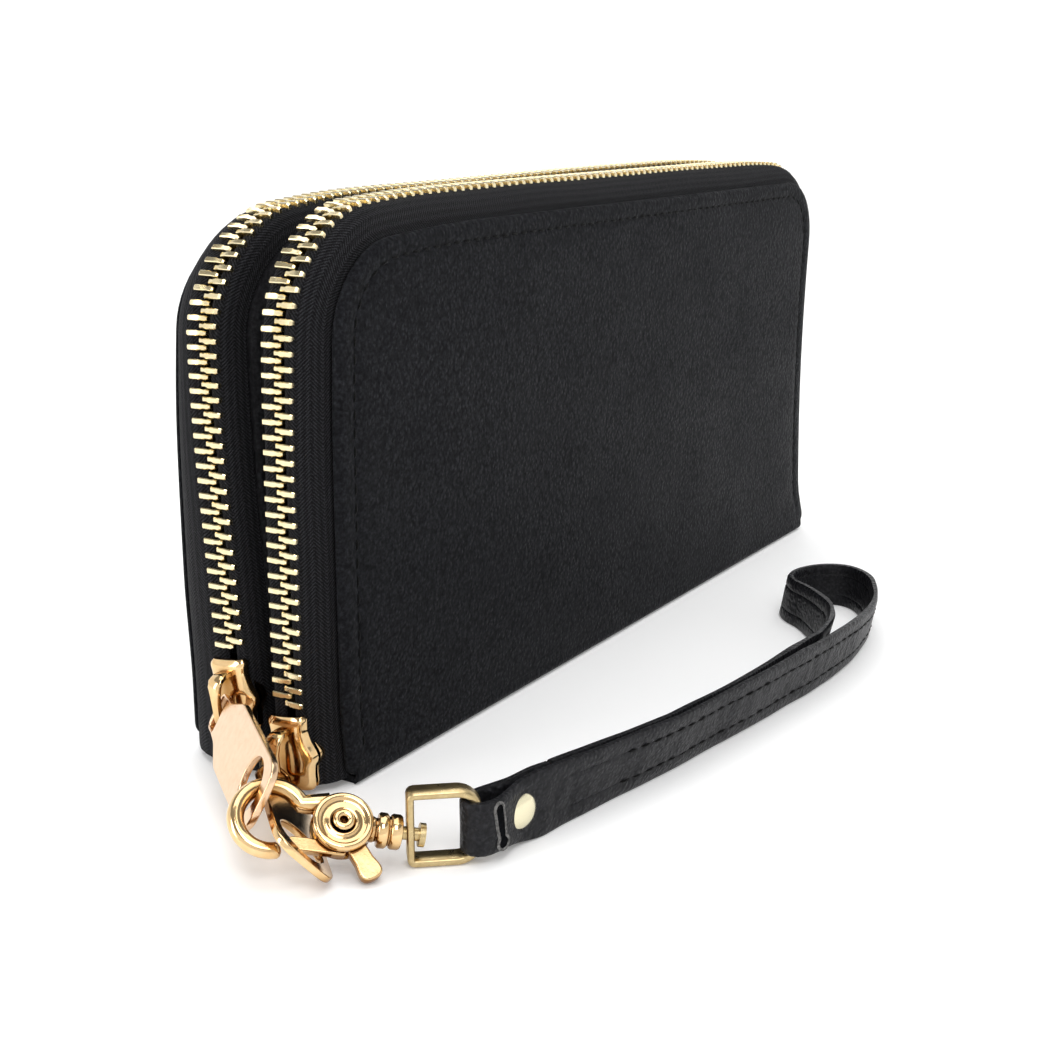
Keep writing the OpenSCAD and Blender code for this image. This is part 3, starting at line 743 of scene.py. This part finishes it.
def welt():
    """Two rolled leather edges side by side between the inner tapes."""
    shape = [
        (-1.0, -7.0), (-1.0, -0.5), (-0.9, 0.25), (-0.65, 0.7), (-0.4, 0.62), (-0.16, 0.2),
        (0.0, -0.35), (0.16, 0.2), (0.4, 0.62), (0.65, 0.7), (0.9, 0.25), (1.0, -0.5),
        (1.0, -7.0),
    ]
    rings = []
    for x, z, nx, nz in rim_stations(20.0, 20.0):
        low = FRONT_ZIP_Y + 4.85
        high = back_zip_y(x, z) - 4.85
        half = max(0.15, (high - low) / 2)
        rise = min(1.0, half / 1.6)
        ring = []
        for v, e in shape:
            e = e * rise + wobble(x + 50 * v, 7, z, 9, 0.14) - 0.9 * (1 - rise)
            y = (low + high) / 2 + v * half
            ring.append(settled(x + e * nx, y, z + e * nz))
        rings.append(ring)
    make("divider_welt_edges", [loft(rings)], leather_edge,
         HOME["divider_welt"], ("divider_welt",), 50)


welt()


def along_x(section, half, count):
    """A (y, z) section swept from -half to half along the wallet."""
    rings = []
    for i in range(count + 1):
        x = half * (2 * i / count - 1)
        rings.append([settled(x, y, z) for y, z in section])
    return loft(rings)


def spine():
    """Leather under the wallet, between the two folds."""
    half, middle = 15.6, 0.72
    section = []
    for side in (-1, 1):
        for i in range(9):
            a = math.radians(-90 * side + 180 * i / 8)
            section.append((side * half + 0.68 * math.cos(a), middle + 0.66 * math.sin(a)))
        for i in range(1, 12):
            section.append((side * half * (1 - i / 6), middle + side * 0.66))
    make("spine_skin", [along_x(section, 95.4, 40)], leather_black,
         HOME["spine_leather"], ("spine_leather",), 50)


spine()


def fold(name, side):
    """The leather rolls from under the spine up to the foot of a cover."""
    outer, inner = [], []
    for i in range(11):
        a = math.radians(250 - 78 * i / 10)
        outer.append((-PANEL_Y + 1.62 * math.cos(a), 1.62 + 1.58 * math.sin(a)))
        inner.append((-PANEL_Y + 0.9 * math.cos(a), 1.62 + 0.9 * math.sin(a)))
    outer.append((-17.14, 3.4))
    inner.append((-16.3, 3.4))
    section = [(-side * y, z) for y, z in outer + inner[::-1]]
    piece = make(name, [along_x(section, 95.8, 60)], leather_black,
                 None, (), 50)
    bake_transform(piece)


fold("front_fold", -1)
fold("back_fold", 1)


def gusset(name, side, end, node):
    """A pleated cloth wall between the divider and a cover."""
    box_low, box_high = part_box(node)
    near, far = sorted((box_low.y / MM, box_high.y / MM), key=abs)
    near += side * 0.1
    far -= side * 0.1
    wall, half_thick, depth = 81.9, 0.18, 4.2
    inside, outside = [], []
    count = 24
    for i in range(count + 1):
        t = i / count
        y = near + (far - near) * t
        bend = depth * math.sin(2 * math.pi * t)
        inside.append((end * (wall + bend) - half_thick, y))
        outside.append((end * (wall + bend) + half_thick, y))
    section = inside + outside[::-1]
    rings = []
    for k in range(15):
        z = box_low.z / MM + 0.2 + (box_high.z - box_low.z - 0.0004) / MM * k / 14
        rings.append([(x, y, z) for x, y in section])
    piece = make(name, [loft(rings)], lining_cloth, None, (node,), 60)
    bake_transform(piece)


for label, side, cover in (("front", -1, "front_cover"), ("back", 1, "back_cover")):
    for word, end in (("left", -1), ("right", 1)):
        gusset(f"{label}_{word}_gusset_cloth", side, end, f"{label}_{word}_gusset")


# ---------- sliders ----------

SLIDER_HALF = [
    (0.0, 3.0), (0.3, 3.3), (2.5, 3.45), (3.9, 3.7), (4.8, 4.35), (5.6, 4.6), (6.4, 4.4),
    (8.2, 3.5), (10.0, 3.1), (11.5, 3.3), (12.2, 3.4), (12.5, 3.0),
]
PLATE_SECTION = [
    (-1.0, 5.0), (-1.0, 6.15), (-0.94, 6.5), (-0.78, 6.75), (-0.45, 6.93), (0.0, 7.0),
    (0.45, 6.93), (0.78, 6.75), (0.94, 6.5), (1.0, 6.15), (1.0, 5.0), (0.86, 5.0),
    (0.84, 5.85), (0.0, 5.9), (-0.84, 5.85), (-0.86, 5.0),
]


def bar_section(half, shoulder, thick, cut):
    """Flat bar with cut corners, as eight (across, out) points."""
    return (
        (-half, -cut), (-shoulder, -thick), (shoulder, -thick), (half, -cut),
        (half, cut), (shoulder, thick), (-shoulder, thick), (-half, cut),
    )


def slider_place(y_top, z_low):
    """A slider hangs from its top end, tipped a little off the chain."""
    return (
        Matrix.Translation((-HALF_LEN, y_top, z_low + SLIDER_LEN))
        @ turned("X", SLIDER_TIP)
        @ Matrix.Translation((0, 0, -SLIDER_LEN))
    )


def slider(name, place, body, nodes):
    """Two waisted shells joined by a post, and the arch that holds the pull tab."""
    parts = []
    for flip, narrow in ((1, 0.0), (-1, 0.35)):
        rings = []
        for i in range(26):
            z = SLIDER_LEN * i / 25
            half = 1.1 * between(SLIDER_HALF, z) - narrow
            close = min(z, SLIDER_LEN - z)
            drop = 0.55 * (1 - smooth_step(close / 0.9))
            ring = []
            for v, e in PLATE_SECTION:
                level = e - drop * smooth_step((e - 5.2) / 1.2)
                if flip < 0:
                    level = 2 * ZIP_RISE - level
                ring.append(place @ Vector((-level, v * half, z)))
            rings.append(ring)
        parts.append(loft(rings))
    post = [place @ Vector((-(2.6 + 3.6 * i / 4), 0, 2.0)) for i in range(5)]
    parts.append(tube(post, 0.8))
    make(name + "_shell", parts, bright_gold, body, (nodes[0],), 40)
    arch = [
        (0.75, 6.5), (0.75, 7.6), (0.85, 8.6), (1.3, 9.4), (2.2, 9.85), (3.6, 10.0),
        (5.4, 10.0), (7.2, 10.0), (8.8, 9.85), (9.7, 9.35), (10.1, 8.5), (10.2, 7.5),
        (10.2, 6.5),
    ]
    rings = []
    for i, (z, e) in enumerate(arch):
        za, ea = arch[max(0, i - 1)]
        zb, eb = arch[min(len(arch) - 1, i + 1)]
        ahead = Vector((eb - ea, 0, zb - za)).normalized()
        out = Vector((ahead.z, 0, -ahead.x))
        wide = 0.75 + 0.65 * smooth_step((z - 6) / 4)
        ring = []
        for v, t in bar_section(1, 0.8, 0.5, 0.3):
            spot = Vector((e, v * wide, z)) + out * t
            ring.append(place @ Vector((-spot.x, spot.y, spot.z)))
        rings.append(ring)
    make(name + "_arch", [loft(rings)], bright_gold, body, (nodes[1],), 50)


slider("front_slider_piece", slider_place(FRONT_ZIP_Y, FRONT_SLIDER_Z), "front_slider",
       ("front_slider_body", "front_slider_bridge"))
slider("back_slider_piece",
       slider_place(back_zip_y(-1, BACK_SLIDER_Z + SLIDER_LEN), BACK_SLIDER_Z), "back_slider",
       ("back_slider_body", "back_slider_bridge"))


# ---------- pull tabs ----------


def rounded(points, count=6):
    """Closed outline with each (x, y, radius) corner rounded."""
    out = []
    total = len(points)
    for i, (x, y, r) in enumerate(points):
        p = Vector((x, y))
        a = (Vector(points[i - 1][:2]) - p).normalized()
        b = (Vector(points[(i + 1) % total][:2]) - p).normalized()
        half = a.angle(b) / 2
        reach = r / math.tan(half)
        start, stop = p + a * reach, p + b * reach
        for k in range(count + 1):
            t = k / count
            out.append(tuple((1 - t) ** 2 * start + 2 * t * (1 - t) * p + t * t * stop))
    return out


PULL_HALF, PULL_END = 5.9, 34.15
TAB_OUTLINE = rounded(
    [
        (-2.0, -3.0, 1.5), (4.5, -3.7, 5), (9.5, -PULL_HALF, 5), (PULL_END, -PULL_HALF, 4.2),
        (PULL_END, PULL_HALF, 4.2), (9.5, PULL_HALF, 5), (4.5, 3.7, 5), (-2.0, 3.0, 1.5),
    ],
    8,
)
TAB_SLOT = rounded(
    [(-1.1, -2.9, 0.7), (1.7, -2.9, 0.7), (1.7, 2.9, 0.7), (-1.1, 2.9, 0.7)], 4
)
TAB_HOLE = circle(27.5, 0, 4.25)
for label, where in (("front", FRONT_PULL), ("back", BACK_PULL)):
    plate(label + "_pull_tab", [TAB_OUTLINE, TAB_SLOT, TAB_HOLE], 1.15, 0.28, where,
          pull_gold if label == "back" else bright_gold,
          label + "_puller", (label + "_puller",))


# ---------- snap hook ----------

JAW_X, JAW_R = -10.6, 5.1


def hook():
    """Open jaw, boss with two ringed cheeks, and the collared stem, in one casting."""
    start, stop, count = 32, 285, 48
    jaw = arc(JAW_X, 0, JAW_R, start, stop, count)
    root = Vector((-2.2, 3.2))
    path = [root + (Vector(jaw[0]) - root) * i / 5 for i in range(5)]
    radius = [1.75 - 0.4 * i / 5 for i in range(5)]
    path += [Vector(p) for p in jaw]
    radius += [1.34 - 0.1 * i / count for i in range(count + 1)]
    for k, shrink in ((1, 0.85), (2, 0.5)):
        a = math.radians(stop) + 0.06 * k
        path.append(Vector((JAW_X + JAW_R * math.cos(a), JAW_R * math.sin(a))))
        radius.append(1.24 * shrink)
    parts = [tube([p.to_3d() for p in path], radius, 20)]
    cheek = [
        (0.95, 0.9), (4.3, 0.9), (4.55, 1.05), (4.62, 1.35), (4.6, 1.75), (4.4, 2.02),
        (4.1, 2.12), (3.75, 2.1), (3.55, 1.95), (3.3, 1.82), (2.9, 1.8), (2.5, 1.86),
        (2.3, 1.98), (2.05, 2.0), (1.85, 1.9), (1.6, 1.84), (0.95, 1.84),
    ]
    parts.append(ring_lathe(cheek))
    parts.append(ring_lathe([(r, -h) for r, h in cheek]))
    rings = []
    for i in range(31):
        a = math.radians(-32 + 185 * i / 30)
        rings.append(
            [(r * math.cos(a), r * math.sin(a), z)
             for r, z in ((3.1, -1.0), (4.5, -1.0), (4.58, 0), (4.5, 1.0), (3.1, 1.0), (3.0, 0))]
        )
    parts.append(loft(rings))
    stem = [
        (1.9, 3.9), (1.95, 4.6), (1.75, 5.05), (1.8, 5.2), (2.45, 5.3), (2.68, 5.6),
        (2.68, 6.5), (2.45, 6.8), (2.2, 6.95), (2.2, 7.1), (2.45, 7.2), (2.66, 7.5),
        (2.66, 8.5), (2.45, 8.85), (2.0, 9.0), (1.2, 9.0),
    ]
    parts.append(lathe(stem, turned("Y", 90)))
    make("hook_casting", parts, bright_gold, "hook", ("hook_body",), 40, HOOK)


hook()

LEVER_TURN = math.radians(305)
LEVER_X, LEVER_Y = math.cos(LEVER_TURN), math.sin(LEVER_TURN)


def along_lever(reach, across):
    return (reach * LEVER_X - across * LEVER_Y, reach * LEVER_Y + across * LEVER_X)


def gate():
    """Hub, arm that closes the jaw, and thumb lever, flat against each other."""
    hub = circle(0, 0, 2.2, 24)
    arm = rounded([(-7.9, -4.9, 1.0), (0.9, -4.9, 0.6), (1.2, -1.0, 0.5), (-2.0, -1.0, 0.3),
                   (-2.3, -2.7, 0.5), (-7.9, -2.7, 1.0)], 4)
    lever = rounded([(0.6, -1.5, 0.3), (6.4, -1.5, 2), (9.6, -2.1, 1.7), (9.6, 2.1, 1.7),
                     (6.4, 1.5, 2), (0.6, 1.5, 0.3)])
    lever = [along_lever(*p) for p in lever]
    for label, shape, thick, nodes in (
        ("gate_hub_plate", [hub, circle(0, 0, 0.95, 20)], 1.5, ()),
        ("gate_arm", [arm], 1.55, ("hook_gate",)),
        ("gate_lever", [lever], 1.6, ()),
    ):
        plate(label, shape, thick, 0.3, HOOK, bright_gold, "gate", nodes)


gate()

RIVET_HEAD = [
    (0.5, 1.3), (0.9, 1.5), (0.95, 2.2), (1.55, 2.25), (1.62, 2.4), (1.5, 2.6), (1.2, 2.72),
    (0.8, 2.66), (0.6, 2.5), (0.5, 2.2),
]
make("gate_rivet_heads",
     [ring_lathe(RIVET_HEAD, 32), ring_lathe([(r, -h) for r, h in RIVET_HEAD], 32),
      ring_lathe([(0.5, -1.4), (0.9, -1.4), (0.9, 1.4), (0.5, 1.4)], 32)],
     bright_gold, "hook", ("gate_rivet",), 40, HOOK)


# ---------- strap frame ----------

FRAME_AT = (-114.185, -41.637)
FRAME_LEN, FRAME_H, BAND = 11.5, 12.0, 1.1


def strap_frame():
    """Flat band bent into a D: tight corners by the stem, wide ones by the strap."""
    mid = BAND / 2
    wide, tight = 4.0 - mid, 0.6
    inner, outer = mid + tight, FRAME_LEN - mid - wide
    low, high = mid + wide, FRAME_H - mid - wide
    path = [(mid, inner + (FRAME_H - 2 * inner) * i / 7) for i in range(8)]
    path += arc(inner, FRAME_H - inner, tight, 150, 90, 2)
    path += arc(outer, high, wide, 90, 0, 10) + arc(outer, low, wide, 0, -90, 10)
    path += arc(inner, inner, tight, 270, 210, 2)
    rings = []
    total = len(path)
    for i, (x, z) in enumerate(path):
        a, b = path[i - 1], path[(i + 1) % total]
        ahead = Vector((b[0] - a[0], 0, b[1] - a[1])).normalized()
        out = Vector((-ahead.z, 0, ahead.x))
        ring = []
        for v, t in bar_section(1.8, 1.55, mid, 0.3):
            ring.append(Vector((x - mid, v, z + 0.2)) + out * t)
        rings.append(ring)
    rings.append(rings[0])
    place = Matrix.Translation((*FRAME_AT, 0)) @ turned("Z", HOOK_YAW)
    make("strap_frame_band", [loft(rings, caps=False)], brass,
         HOME["strap_frame"], ("strap_frame",), 50, place)


strap_frame()


# ---------- wrist strap ----------

STRAP_T = 1.45
BAR = Vector((-107.486, -49.592))
NEAR = Vector((0.971, -0.239))
FACE = Vector((-0.239, -0.971))
WRAP_R = 2.3
FRONT_LINE = [
    (-88.5, -54.2), (-80.3, -55.7), (-66.8, -58.1), (-51.8, -60.4), (-38.8, -62.3),
    (-24.3, -64.0), (-12, -65.4), (3, -65.7), (17, -64.2), (27, -61.4), (34.5, -57.8),
    (39.0, -53.2), (39.6, -48.8), (37.0, -44.8), (32.4, -42.2), (27.4, -42.0), (23.4, -44.6),
    (19.4, -49.4), (13.4, -54.6), (7, -58.4), (-2, -61.4), (-12, -62.7),
]
LEAN = [
    (-112, 0), (-97, 2), (-86, 9.5), (-65, 16), (-42, 15), (-16, 14), (12, 13), (30, 9), (45, 7),
]
LEAN_WAY = Vector((0.12, -0.993))
RETURN_X = (-94.6, -13)


def curve_through(points, per=6):
    """Smooth line through points."""
    out = []
    last = len(points) - 1
    for i in range(last):
        p0, p1 = Vector(points[max(0, i - 1)]), Vector(points[i])
        p2, p3 = Vector(points[i + 1]), Vector(points[min(last, i + 2)])
        for k in range(per):
            t = k / per
            out.append(
                0.5 * (2 * p1 + (p2 - p0) * t + (2 * p0 - 5 * p1 + 4 * p2 - p3) * t * t
                       + (3 * p1 - p0 - 3 * p2 + p3) * t ** 3)
            )
    out.append(Vector(points[last]))
    return out


def strap_line():
    """Middle line of the band: from behind the rivet round the bar, then out and back."""
    spread = [(0.0, WRAP_R), (2.0, 2.25), (4.5, 1.6), (7.6, 0.85), (12.5, 0.76)]
    near = [BAR + along * NEAR + off * FACE for along, off in spread]
    spread[-1] = (14.3, 0.8)
    behind = [BAR + along * NEAR - off * FACE for along, off in spread]
    wrap = []
    for i in range(1, 12):
        a = math.radians(76.2 + 180 * i / 12)
        wrap.append(BAR + WRAP_R * Vector((math.cos(a), math.sin(a))))
    line = behind[::-1] + wrap + near
    return curve_through(line, 3)[:-1], curve_through(line[-1:] + FRONT_LINE)


def beside_front(front, x0, x1):
    """The returning layer, just behind the front one and parting from it slowly."""
    out = []
    for p in reversed(front):
        if x0 < p.x < x1:
            gap = STRAP_T + 0.08 + 1.5 * smooth_step((p.x + 52) / 45)
            out.append(p + Vector((0.2, 0.98)) * gap)
    return out


def strap_rings(line):
    """Sections of the band: sewn grooves, crinkles, and crumpling by the rivet."""
    rings = []
    last = len(line) - 1
    half = STRAP_T / 2
    face = [
        0.0, 0.05, 0.14, 0.22, 0.25, 0.28, 0.34, 0.42, 0.5, 0.58, 0.66, 0.72, 0.75, 0.78, 0.86,
        0.95, 1.0,
    ]
    for i, p in enumerate(line):
        ahead = (line[min(last, i + 1)] - line[max(0, i - 1)]).normalized()
        out = Vector((ahead.y, -ahead.x))
        z0, z1 = wide_low(p.x), wide_high(p.x)
        lean = math.radians(between(LEAN, p.x))
        ring = []
        sewn = smooth_step((p.x + 97) / 5)
        for side in (1, -1):
            for t in face if side > 0 else face[::-1]:
                edge = min(t, 1 - t)
                n = half * (0.6 + 0.4 * smooth_step(edge / 0.06))
                if abs(edge - 0.25) < 0.01:
                    n -= 0.17 * sewn
                z = z0 + (z1 - z0) * t
                crinkle = wobble(p.x * 2.2, side * 9 + p.y, z * 0.5, 3.0, 0.2) * sewn
                near_rivet = 1 - smooth_step((abs(p.x + 92) - 3) / 9)
                crumple = wobble(p.x * 1.1, side * 5, z * 1.2, 1.6, 0.3) * near_rivet
                middle = smooth_step((edge - 0.06) / 0.2)
                n += (crinkle + crumple) * middle
                n += wobble(p.x, side * 9 + p.y, z, 9, 0.25)
                spot = p + out * (side * n) + LEAN_WAY * (z * math.sin(lean))
                ring.append((spot.x, spot.y, z * math.cos(lean)))
        rings.append(ring)
    return rings


def wide_low(x):
    """Height of the band's lower edge, before it leans."""
    return 0.12 + 1.7 * (1 - smooth_step((x + 108) / 13))


def wide_high(x):
    return 11.6 - 1.3 * (1 - smooth_step((x + 108) / 13)) - 1.9 * smooth_step((x + 10) / 38)


def resample(line, step):
    out, left = [line[0]], step
    for a, b in zip(line, line[1:]):
        length = (b - a).length
        while length >= left and length > 1e-6:
            a = a + (b - a) * (left / length)
            out.append(a)
            length, left = (b - a).length, step
        left -= length
    return out


wrapped, front = strap_line()
path = wrapped + front
full = resample(path + beside_front(front, *RETURN_X), 0.9)
make("strap_band", [loft(strap_rings(full))], leather_strap,
     "wrist_strap", ("strap",), 50)


def strap_stitches():
    """Two rows along the outer face, from the rivet to the end of the loop."""
    parts = []
    walk = resample(path, STITCH_STEP)
    begun = False
    for a, b in zip(walk, walk[1:]):
        p = (a + b) / 2
        ahead = (b - a).normalized()
        begun = begun or (ahead.x > 0.5 and p.x > -92)
        if not begun or (p.x < 40 and p.y > -56):
            continue
        out = Vector((ahead.y, -ahead.x))
        lean = math.radians(between(LEAN, p.x))
        for share in (0.25, 0.75):
            z = wide_low(p.x) + (wide_high(p.x) - wide_low(p.x)) * share
            shift = STRAP_T / 2 - 0.02 + wobble(p.x, 9 + p.y, z, 9, 0.25)
            flat = p + out * shift + LEAN_WAY * (z * math.sin(lean))
            spot = Vector((flat.x, flat.y, z * math.cos(lean)))
            normal = Vector((out.x * math.cos(lean), out.y * math.cos(lean), -math.sin(lean)))
            parts.append(capsule(spot, Vector((ahead.x, ahead.y, 0)), normal, 2.3, 0.22))
    make("strap_stitches", parts, thread_black, "wrist_strap", (), 60)


strap_stitches()


def keyhole():
    """A sewn slot with a raw grey edge, on the face between the frame and the rivet; a near-black
    sheet paints the shade inside it.
    """
    middle = BAR + 1.7 * NEAR + (2.27 + STRAP_T / 2 + 0.05) * FACE
    place = Matrix.Translation((*middle, 6.1)) @ turned("Z", -9) @ turned("X", 90)
    place = place @ turned("Z", 9)
    sides = [(0.92, 1.2), (0.85, -0.6), (0.72, -1.9)]
    line = arc(0, 2.9, 0.95, 0, 180, 12) + [(-x, y) for x, y in sides]
    line += arc(0, -2.9, 1.15, 130, 410, 16) + sides[::-1]
    edge = [Vector((x, y, 0)) for x, y in line + line[:1]]
    make("slot_edge", [tube(edge, 0.27, 8)], raw_edge,
         "wrist_strap", (), 60, place)
    # Painted shade: a near-black sheet fills the slot, where its opening would show shade.
    inner = [(0.86 * x, 0.93 * y) for x, y in line]
    plate("slot_shade_sheet", [inner], 0.3, 0.05, place, slot_painted_shade, "wrist_strap")


keyhole()

RIVET_AT = Vector((-100.15, -51.45, 6.0))
RIVET_PLACE = Matrix.Translation(RIVET_AT) @ turned("Z", -13.8) @ turned("X", 90)
make("strap_rivet_dome",
     [lathe([(0.1, 2.42), (1.0, 2.38), (1.9, 2.2), (2.6, 1.88), (2.95, 1.5), (3.02, 1.2),
             (2.85, 0.85), (2.2, 0.6), (0.1, 0.6)])],
     rivet_gold, "wrist_strap", ("strap_rivet_cap",), 40, RIVET_PLACE)


# ---------- studio, metres ----------

FLOOR_GLOW, SKY = 0.14, 0.3
LAMPS = [
    ("key", (-0.75, -0.6, 1.15), (0, 0, 0.03), (0.7, 0.7), 8),
    ("over", (0.25, 0.1, 1.5), (0, 0, 0), (1.6, 1.6), 15),
    ("left", (-1.1, 0.55, 0.45), (0, 0, 0.04), (0.35, 0.8), 4),
    ("rear", (0.9, 0.7, 1.25), (0, 0, 0.04), (0.7, 0.6), 3.5),
]
CAMERA_AT = (-0.2918, -0.1711, 0.1119)
CAMERA_AHEAD = Vector((0.8213, 0.5092, -0.2571))
LENS = 55.38


def stage():
    """Round pale floor that rises softly on every side."""
    centre, flat, rise, top, sides = 0.002, 1.4, 0.6, 1.5, 96
    edge = centre + flat
    profile = [(centre + flat * i / 12, 0.0) for i in range(13)]
    for i in range(1, 13):
        a = math.radians(90 * i / 12)
        profile.append((edge + rise * math.sin(a), rise * (1 - math.cos(a))))
    profile.append((edge + rise, top))
    points, faces = [], []
    for r, h in profile:
        for j in range(sides):
            a = 2 * math.pi * j / sides
            points.append((r * math.cos(a), r * math.sin(a), h))
    for i in range(len(profile) - 1):
        for j in range(sides):
            k = (j + 1) % sides
            faces.append((i * sides + j, i * sides + k, (i + 1) * sides + k, (i + 1) * sides + j))
    faces.append(tuple(range(sides)))
    mesh = bpy.data.meshes.new("bowl")
    mesh.from_pydata(points, [], faces)
    mesh.polygons.foreach_set("use_smooth", [True] * len(mesh.polygons))
    pale = Shader("pale_floor", (0.9, 0.9, 0.9), 0.7)
    pale.set("Emission Color", (1, 1, 1, 1))
    pale.set("Emission Strength", FLOOR_GLOW)
    mesh.materials.append(pale.material)
    bowl = bpy.data.objects.new("bowl", mesh)
    bpy.context.scene.collection.objects.link(bowl)


stage()


def softbox(name, at, aim, size, power):
    data = bpy.data.lights.new(name, "AREA")
    data.shape = "RECTANGLE"
    data.size, data.size_y = size
    data.energy = power
    lamp = bpy.data.objects.new(name, data)
    lamp.location = at
    lamp.rotation_euler = (Vector(aim) - Vector(at)).to_track_quat("-Z", "Y").to_euler()
    bpy.context.scene.collection.objects.link(lamp)


for lamp in LAMPS:
    softbox(*lamp)
world = bpy.data.worlds.new("studio")
bpy.context.scene.world = world
world.use_nodes = True
world.node_tree.nodes["Background"].inputs["Color"].default_value = (1, 1, 1, 1)
world.node_tree.nodes["Background"].inputs["Strength"].default_value = SKY

lens = bpy.data.cameras.new("camera")
lens.lens = LENS
lens.sensor_width = 36
lens.clip_start = 0.01
camera = bpy.data.objects.new("camera", lens)
camera.location = CAMERA_AT
camera.rotation_euler = CAMERA_AHEAD.to_track_quat("-Z", "Y").to_euler()
bpy.context.scene.collection.objects.link(camera)
bpy.context.scene.camera = camera
bpy.context.scene.view_settings.view_transform = "Standard"
